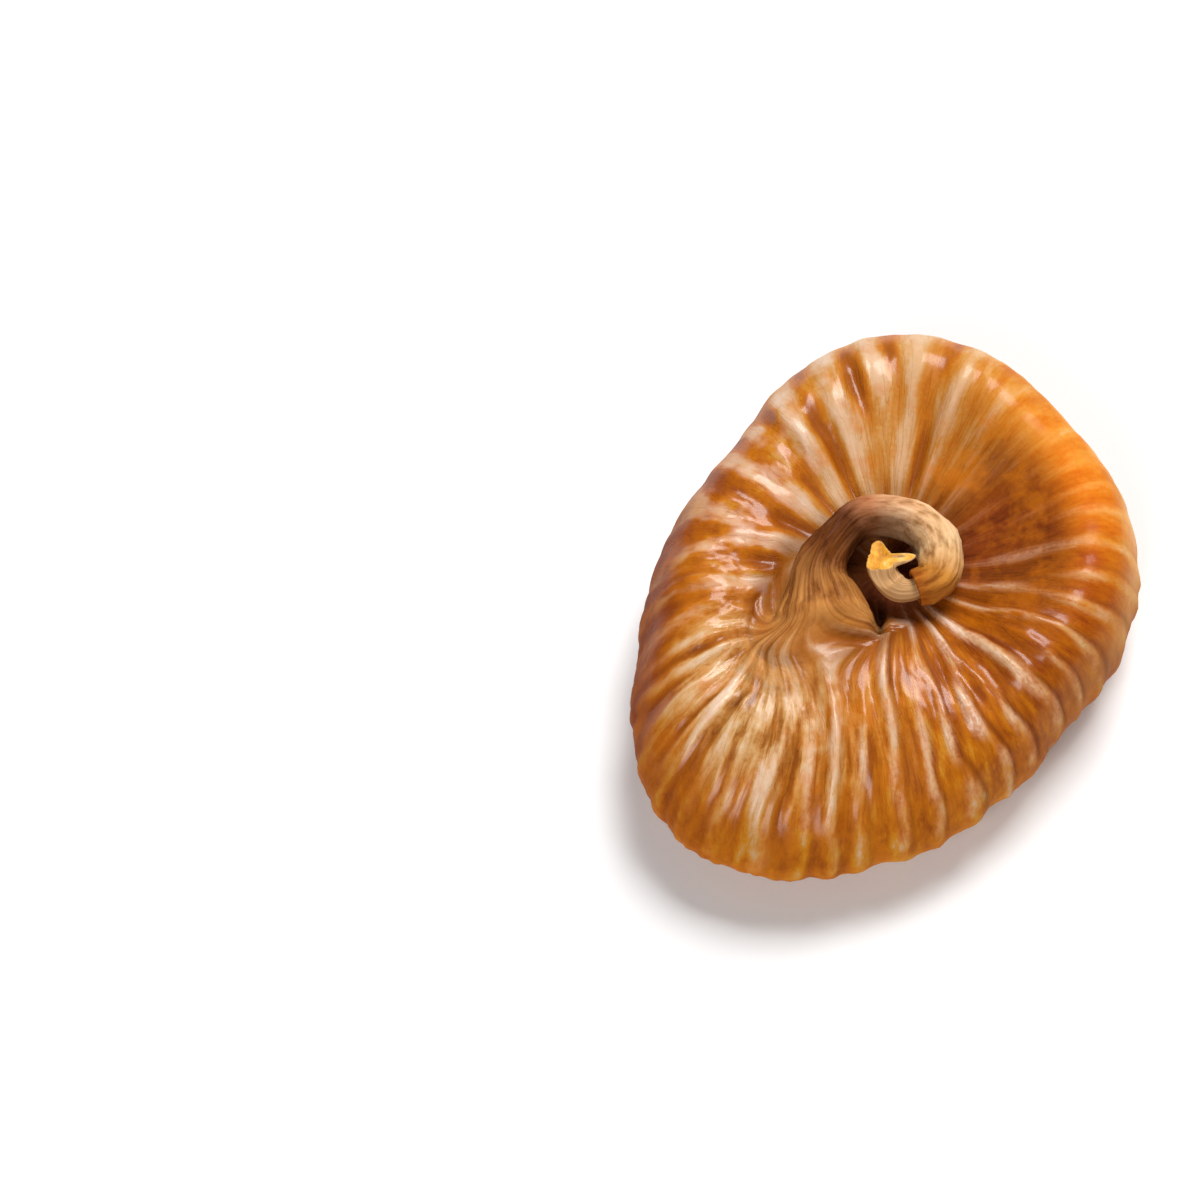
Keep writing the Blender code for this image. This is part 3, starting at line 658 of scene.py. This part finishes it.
# How pale the skin is: folds that stand up are paler, partly because they dried most and partly as painted
# highlight. In the front the crests are drawn on their own, and on the left the pale patches are lumps, so
# there the height of the folds counts for less.
in_front = weighed(tree, -0.25, ((pattern["narrow_streaks"], 0.7), (mark["rise"], -0.36)))
on_left = weighed(tree, -0.33, ((pattern["lumps"], 0.62), (mark["rise"], -0.16)))
amount = weighed(tree, 0.0, (
    (mark["rise"], 0.5),
    (pattern["broad_streaks"], 0.3),
    (patches, 0.38),
    (pattern["narrow_streaks"], 0.12),
    (pattern["hairs"], 0.05),
    (pattern["specks"], 0.12),
    (mark["front"], in_front),
    (mark["left"], on_left),
    # painted shade on the left rim, and the lower right darker
    (mark["darkened"], -0.08),
    (mark["left_rim"], -0.12),
    (mark["ridge"], 0.12),
    (fine_creases, -0.03),
))
amount = weighed(tree, -0.5, ((amount, 1.35),))

# Most of the skin is amber. The fan is drier and paler, with fine dark lines; the deep side is thick, and its
# red-brown is painted shade of a slope that faces away from the light; its thin rim has painted light, a
# bright orange glow as if lit through from behind; the back is dull beige with amber showing between.
SKIN_TONES = {
    "amber": (
        (0.1, "#964804"), (0.28, "#AC5C06"), (0.43, "#BE6C08"),
        (0.57, "#C88418"), (0.7, "#C89A66"), (0.84, "#DCBCA0"),
    ),
    "dry": ((0.26, "#6E3C14"), (0.38, "#A86E30"), (0.48, "#D0A46C"), (0.64, "#ECD2B2")),
    "red": ((0.2, "#441204"), (0.4, "#662004"), (0.56, "#7E2E06"), (0.8, "#A6542A")),
    "lit": ((0.2, "#C04C04"), (0.42, "#E27810"), (0.62, "#EE9C3C"), (0.82, "#F4C88C")),
    "beige": ((0.25, "#9A5412"), (0.42, "#BC701A"), (0.54, "#C28642"), (0.7, "#D4A878")),
}
tone = {}
for name, stops in SKIN_TONES.items():
    tone[name] = add(tree, "ShaderNodeValToRGB", {"Fac": amount}, "Color", stops)

# The neck is drier still: olive brown where it leaves the body, darkened there by painted shade on its arm,
# then tan, and cream towards the stalk. It is mottled all over, has dark fibres where it leaves the body, and
# has painted shade inside its curl.
NECK_TONES = (
    # The dark stop at 0.64 is painted shade on the neck's arm.
    (0.0, "#B06820"), (0.08, "#C88A3C"), (0.2, "#F0CCA0"), (0.42, "#F4C69E"),
    (0.54, "#BC7C54"), (0.64, "#5C2E0E"), (0.78, "#7A461A"), (1.0, "#C88C4C"),
)
MOTTLES = ((0.32, "#B49A78"), (0.46, "#E6D8C4"), (0.6, "#FFFAF0"))
FIBRE_TONES = ((0.34, "#9C7450"), (0.44, "#E0D2C0"), (0.54, "#FFFFFF"))
neck_tones = add(tree, "ShaderNodeValToRGB", {"Fac": mark["curl"]}, "Color", NECK_TONES)
mottled = add(tree, "ShaderNodeValToRGB", {"Fac": pattern["mottle"]}, "Color", MOTTLES)
lined = add(tree, "ShaderNodeValToRGB", {"Fac": pattern["fibres"]}, "Color", FIBRE_TONES)
dull = layered(tree, neck_tones, (
    (1.0, 1.0, mottled, "MULTIPLY"),
    # painted shade inside the curl
    (mark["inside_shade"], 0.7, linear("#4A2812"), "MIX"),
    (mark["fibrous"], 0.7, lined, "MULTIPLY"),
))

# Syrup has gathered in blotches under the skin, which are a clear orange-amber. Where ribs stand up the skin
# is
# pale and pinkish, in patches: partly skin that has dried most, partly painted highlight. In the front every
# fold has a pale crest, dry skin with a painted highlight on it, broken by specks, and a brown line of
# painted shadow at its foot.
syrup = add(tree, "ShaderNodeMapRange", {0: pattern["blotches"], 1: 0.5, 2: 0.68})
dried_and_highlit = weighed(tree, 0.0, ((mark["rise"], 0.6), (patches, 0.8)))
dried_and_highlit = add(tree, "ShaderNodeMapRange", {0: dried_and_highlit, 1: 0.76, 2: 0.98}, interpolation_type="SMOOTHSTEP")
bare_front = weighed(tree, 0.0, ((mark["front"], 0.1),))
bare_fan = weighed(tree, 0.0, ((mark["fan"], 0.8),))
ribbed = add(tree, "ShaderNodeMath", {0: mark["left"], 1: bare_front}, operation="MAXIMUM")
ribbed = add(tree, "ShaderNodeMath", {0: ribbed, 1: bare_fan}, operation="MAXIMUM")
ribbed = weighed(tree, 0.0, ((ribbed, weighed(tree, 1.0, ((mark["rim"], -0.8),))),))
dried_and_highlit = weighed(tree, 0.0, ((dried_and_highlit, ribbed),))
in_patches = add(tree, "ShaderNodeMapRange", {0: patches, 1: 0.3, 2: 0.48})
speckled = weighed(tree, pattern["specks"], ((pattern["narrow_streaks"], 1.0),))
broken = add(tree, "ShaderNodeMapRange", {0: speckled, 1: 0.82, 2: 1.08, 3: 0.35, 4: 1.0})
crested = weighed(tree, 0.0, ((mark["ridge"], in_patches),))
crested = weighed(tree, 0.0, ((crested, broken),))
colour = layered(tree, tone["amber"], (
    (mark["fan"], 0.85, tone["dry"], "MIX"),
    (mark["pale"], 0.72, tone["beige"], "MIX"),
    # painted shade on the deep slope, then painted light: the rim's orange glow and its pale edge
    (mark["deep"], 0.9, tone["red"], "MIX"),
    (mark["painted_glow"], 0.85, tone["lit"], "MIX"),
    (mark["edge"], 0.85, linear("#F6C48C"), "MIX"),
    (syrup, 0.55, linear("#C8700E"), "MIX"),
    # painted highlight on the pale patches and crests, partly dry skin, and painted shadow at the folds' feet
    (dried_and_highlit, 0.6, linear("#E4C2AE"), "MIX"),
    (mark["foot"], 0.75, linear("#702E08"), "MIX"),
    (crested, 1.0, linear("#EFD2C0"), "MIX"),
    # painted shade on the left rim, and the lower right darker
    (mark["darkened"], 1.0, linear("#DDC575"), "MULTIPLY"),
    # painted shade in the left creases and in the valley beside the neck
    (mark["crease"], 0.75, linear("#8C4208"), "MIX"),
    (mark["valley"], 0.6, linear("#6A2E0C"), "MIX"),
    (mark["neck"], 1.0, dull, "MIX"),
    # painted shade in the slit and the hollow
    (mark["slit"], 0.85, linear("#3C1A10"), "MIX"),
    (mark["hollow"], 0.5, linear("#5E3020"), "MIX"),
))
tree.links.new(colour, shader.inputs["Base Color"])

# The sticky coat is thinner where the skin is dry, at the rim, and in the shade of the slit and the hollow.
shaded = add(tree, "ShaderNodeMath", {0: mark["hollow"], 1: mark["slit"]}, operation="MAXIMUM")
rough = weighed(tree, 0.38, (
    (mark["neck"], 0.25), (mark["painted_glow"], 0.25), (pattern["specks"], 0.12), (mark["rim"], 0.2), (shaded, 0.5),
))
wet = weighed(tree, 0.48, (
    (mark["neck"], -0.45), (mark["painted_glow"], -0.55), (shaded, -0.6), (mark["rim"], -0.5),
))
tree.links.new(rough, shader.inputs["Roughness"])
tree.links.new(wet, shader.inputs["Coat Weight"])
shader.inputs["Coat Roughness"].default_value = 0.2
shader.inputs["IOR"].default_value = 1.45
shader.inputs["Specular IOR Level"].default_value = 0.1
shader.inputs["Subsurface Weight"].default_value = 0.2
shader.inputs["Subsurface Radius"].default_value = (1.0, 0.35, 0.1)
shader.inputs["Subsurface Scale"].default_value = 1.0 * MM

# Relief too fine for the mesh: hairlines and creases on the body, mottling on the neck, and specks all over.
lines = weighed(tree, 0.0, ((fine_creases, -0.2), (pattern["hairs"], 0.15)))
lines = weighed(tree, 0.0, ((lines, weighed(tree, 1.0, ((mark["neck"], -0.9),))),))
neck_mottle = weighed(tree, 0.0, ((mark["neck"], 1.6),))
bumpy = weighed(tree, lines, ((pattern["mottle"], neck_mottle), (pattern["specks"], 0.4)))
bumps = add(tree, "ShaderNodeBump", {"Height": bumpy, "Strength": 0.8, "Distance": 0.16 * MM})
tree.links.new(bumps, shader.inputs["Normal"])
fig.data.materials.append(skin)
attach(fig, "root")
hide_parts("fruit")


# The cut stalk. The woody end left on the neck when the fig was cut from its twig: a short bent stub, drawn
# out into a thin edge on one side of its slanted cut, dry and fibrous, yellow on the cut and tan outside.
STALK = (
    (2.0 * MM, -3.74 * MM, 12.6 * MM, 0.9 * MM),
    (1.3 * MM, -3.98 * MM, 12.5 * MM, 0.95 * MM),
    (0.4 * MM, -3.8 * MM, 12.4 * MM, 1.1 * MM),
    (-0.4 * MM, -3.2 * MM, 12.6 * MM, 1.2 * MM),
    (-0.95 * MM, -2.4 * MM, 13.1 * MM, 1.25 * MM),
    (-1.2 * MM, -1.6 * MM, 13.7 * MM, 1.25 * MM),
)
CUT_FACING = (-0.12, 0.1, 0.98)
CUT_CORNERS = (  # compass angle, reach in degrees, change of radius, from where along the stalk
    (100.0, 26.0, 0.75, 0.5),
    (220.0, 28.0, 0.25, 0.5),
    (315.0, 26.0, 0.25, 0.5),
    (2.0, 14.0, 1.55, 0.85),
)
CUT_DISH = 0.22 * MM
CUT_NARROWER = 0.14
FIBRES, FIBRE_LENGTH, FIBRE_DEPTH, FIBRE_SEED = 26, 1.6 * MM, 0.05 * MM, 3
TORN_CELLS, TORN_LENGTH, TORN_DEPTH, TORN_SEED = 22, 0.8 * MM, 0.05 * MM, 29
FIRST_RINGS = (0.0, 0.3, 0.6, 0.85)  # of the flat end in the socket, as shares of its radius
STALK_COLUMNS, STALK_SIDE_ROWS, CUT_ROWS = 160, 60, 16

stalk_turn = np.linspace(0.0, TURN, STALK_COLUMNS, endpoint=False)
steps = np.linspace(0.0, 1.0, STALK_SIDE_ROWS)
middle, radius, side, up, onwards = frames(STALK, steps)
facing = np.array(CUT_FACING) / np.linalg.norm(CUT_FACING)
clockwise = np.sign(np.cross(side[-1], up[-1])[2])
compass = math.atan2(side[-1][1], side[-1][0]) + clockwise * stalk_turn
stalk_rings = [ring(middle[0], radius[0] * share, side[0], up[0], stalk_turn) for share in FIRST_RINGS]
for i, step in enumerate(steps):
    outline = 1.0 - CUT_NARROWER * smooth(step, 0.4, 1.0)
    for at, reach, change, start in CUT_CORNERS:
        outline = outline + change * smooth(step, start, 1.0) * bell(compass, at, reach)
    fibre = noise(stalk_turn, step * length_of(STALK, 3), FIBRES, FIBRE_LENGTH, FIBRE_SEED)
    reach = radius[i] * outline + FIBRE_DEPTH * smooth(step, 0.0, 0.3) * fibre
    # Each ring turns from square across the stalk to the slant of the cut.
    turned = smooth(step, 0.35, 0.85)
    heading = onwards[i] * (1.0 - turned) + facing * turned
    heading /= np.linalg.norm(heading)
    level = side[i] - heading * (side[i] @ heading)
    level /= np.linalg.norm(level)
    stalk_rings.append(ring(middle[i], reach[:, None], level, np.cross(heading, level), stalk_turn))
rim = stalk_rings[-1]
for share in np.linspace(1.0, 0.0, CUT_ROWS + 1)[1:]:
    dish = 1.0 - smooth(share, 0.5, 0.95)
    torn = noise(stalk_turn, 3.0 * MM * share, TORN_CELLS, TORN_LENGTH, TORN_SEED)
    torn = TORN_DEPTH * torn * smooth(share, 0.0, 0.3)
    level = middle[-1] + (rim - middle[-1]) * share - facing * (CUT_DISH * dish)
    stalk_rings.append(level + facing * torn[:, None])
stalk_points = np.array(stalk_rings[::-1]) + np.array(PLAN_MIDDLE)
stub = sheet_of("cut_stalk", stalk_points)
on_cut = np.arange(len(stalk_rings))[:, None] < CUT_ROWS
features = {"cut": on_cut, "fibre_x": np.cos(stalk_turn), "fibre_y": np.sin(stalk_turn)}
for name, values in features.items():
    paint(stub, name, np.broadcast_to(values, stalk_points.shape[:2]))

# Dry stalk: cut wood is yellow ochre with darker fibre ends, and the bark is tan with fine dark lines.
WOOD_GRAIN_MM = 1.111
WOOD_TONES = ((0.32, "#B87420"), (0.45, "#DE9828"), (0.58, "#EDB244"), (0.72, "#F4CE84"))
BARK_TONES = ((0.25, "#8A5A2E"), (0.5, "#C2925C"), (0.75, "#E6BE8C"))
bark = bpy.data.materials.new("cut_fig_stalk")
bark.use_nodes = True
tree = bark.node_tree
shader = tree.nodes["Principled BSDF"]
mark = {name: add(tree, "ShaderNodeAttribute", output="Fac", attribute_name=name) for name in features}
here = add(tree, "ShaderNodeTexCoord", output="Object")
in_mm = add(tree, "ShaderNodeVectorMath", {0: here, 1: (1.0 / MM, 1.0 / MM, 1.0 / MM)}, operation="MULTIPLY")
round_stalk = add(tree, "ShaderNodeCombineXYZ", {0: mark["fibre_x"], 1: mark["fibre_y"], 2: 0.0})
settings = {"Vector": in_mm, "Scale": 1.0 / WOOD_GRAIN_MM, "Detail": 5.0, "Roughness": 0.6}
grains = add(tree, "ShaderNodeTexNoise", settings, "Fac")
lines = add(tree, "ShaderNodeTexNoise", {"Vector": round_stalk, "Scale": 5.0, "Detail": 3.0}, "Fac")
wood = add(tree, "ShaderNodeValToRGB", {"Fac": grains}, "Color", WOOD_TONES)
outside = add(tree, "ShaderNodeValToRGB", {"Fac": lines}, "Color", BARK_TONES)
colour = layered(tree, outside, ((mark["cut"], 1.0, wood, "MIX"),))
tree.links.new(colour, shader.inputs["Base Color"])
shader.inputs["Roughness"].default_value = 0.62
shader.inputs["IOR"].default_value = 1.5
shader.inputs["Specular IOR Level"].default_value = 0.35
bumps = add(tree, "ShaderNodeBump", {"Height": grains, "Strength": 0.5, "Distance": 0.15 * MM})
tree.links.new(bumps, shader.inputs["Normal"])
stub.data.materials.append(bark)
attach(stub, "root")
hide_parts("stem")


# The surface the fig lies on. A plain white table top, painted matte: it throws a little light up on the
# sides of the fig and takes its soft shadow.
bpy.ops.mesh.primitive_plane_add(size=3.0, location=(0.0, 0.0, 0.0))
table = bpy.context.object
table.name = "white_table"
white = bpy.data.materials.new("matte_white_table")
white.use_nodes = True
white.node_tree.nodes["Principled BSDF"].inputs["Base Color"].default_value = linear("#F6F6F6")
white.node_tree.nodes["Principled BSDF"].inputs["Roughness"].default_value = 0.9
white.node_tree.nodes["Principled BSDF"].inputs["Specular IOR Level"].default_value = 0.2
table.data.materials.append(white)

# The light is a photographer's: a large soft box behind and to the right, above the fig, and a weak one at
# the front left to fill the shadows. Each has its place and size in metres and its power in watts.
for name, place, size, power in (
    ("soft_box", (0.14, 0.30, 0.50), 0.3, 4.0),
    ("fill", (-0.16, -0.45, 0.40), 0.25, 1.9),
):
    lamp = bpy.data.lights.new(name, "AREA")
    lamp.shape = "SQUARE"
    lamp.size = size
    lamp.energy = power
    holder = bpy.data.objects.new(name, lamp)
    holder.location = place
    holder.rotation_euler = (Vector((0.0, 0.0, 0.01)) - Vector(place)).to_track_quat("-Z", "Y").to_euler()
    bpy.context.scene.collection.objects.link(holder)

world = bpy.data.worlds.new("studio")
world.use_nodes = True
world.node_tree.nodes["Background"].inputs["Color"].default_value = (1.0, 1.0, 1.0, 1.0)
world.node_tree.nodes["Background"].inputs["Strength"].default_value = 0.12
bpy.context.scene.world = world
bpy.context.scene.view_settings.view_transform = "Standard"

# The camera looks down at 60 degrees from 290 mm away. It faces the middle of the fig, turned so that the fig
# lies right of the picture's middle, where FIG_PIXEL says.
ELEVATION, DISTANCE = math.radians(60.0), 290.0 * MM
PIXELS, PIXELS_PER_MM = 1200.0, 11.55
LOOKED_AT = Vector((-0.121 * MM, -1.576 * MM, 7.5 * MM))
FIG_PIXEL = (884.0, 610.0)
lens = bpy.data.cameras.new("camera")
lens.sensor_width = 36.0
lens.lens = 36.0 * PIXELS_PER_MM * (DISTANCE / MM) / PIXELS
lens.clip_start, lens.clip_end = 0.01, 10.0
camera = bpy.data.objects.new("camera", lens)
back = Vector((0.0, -math.cos(ELEVATION), math.sin(ELEVATION)))
camera.location = LOOKED_AT + back * DISTANCE
camera.rotation_mode = "QUATERNION"
camera_turn = (-back).to_track_quat("-Z", "Y")
across = (FIG_PIXEL[0] - PIXELS / 2.0) / PIXELS_PER_MM / (DISTANCE / MM)
down = (FIG_PIXEL[1] - PIXELS / 2.0) / PIXELS_PER_MM / (DISTANCE / MM)
aim = Vector((-across, down, -1.0)).rotation_difference(Vector((0.0, 0.0, -1.0))).inverted()
camera.rotation_quaternion = camera_turn @ aim
bpy.context.scene.collection.objects.link(camera)
bpy.context.scene.camera = camera
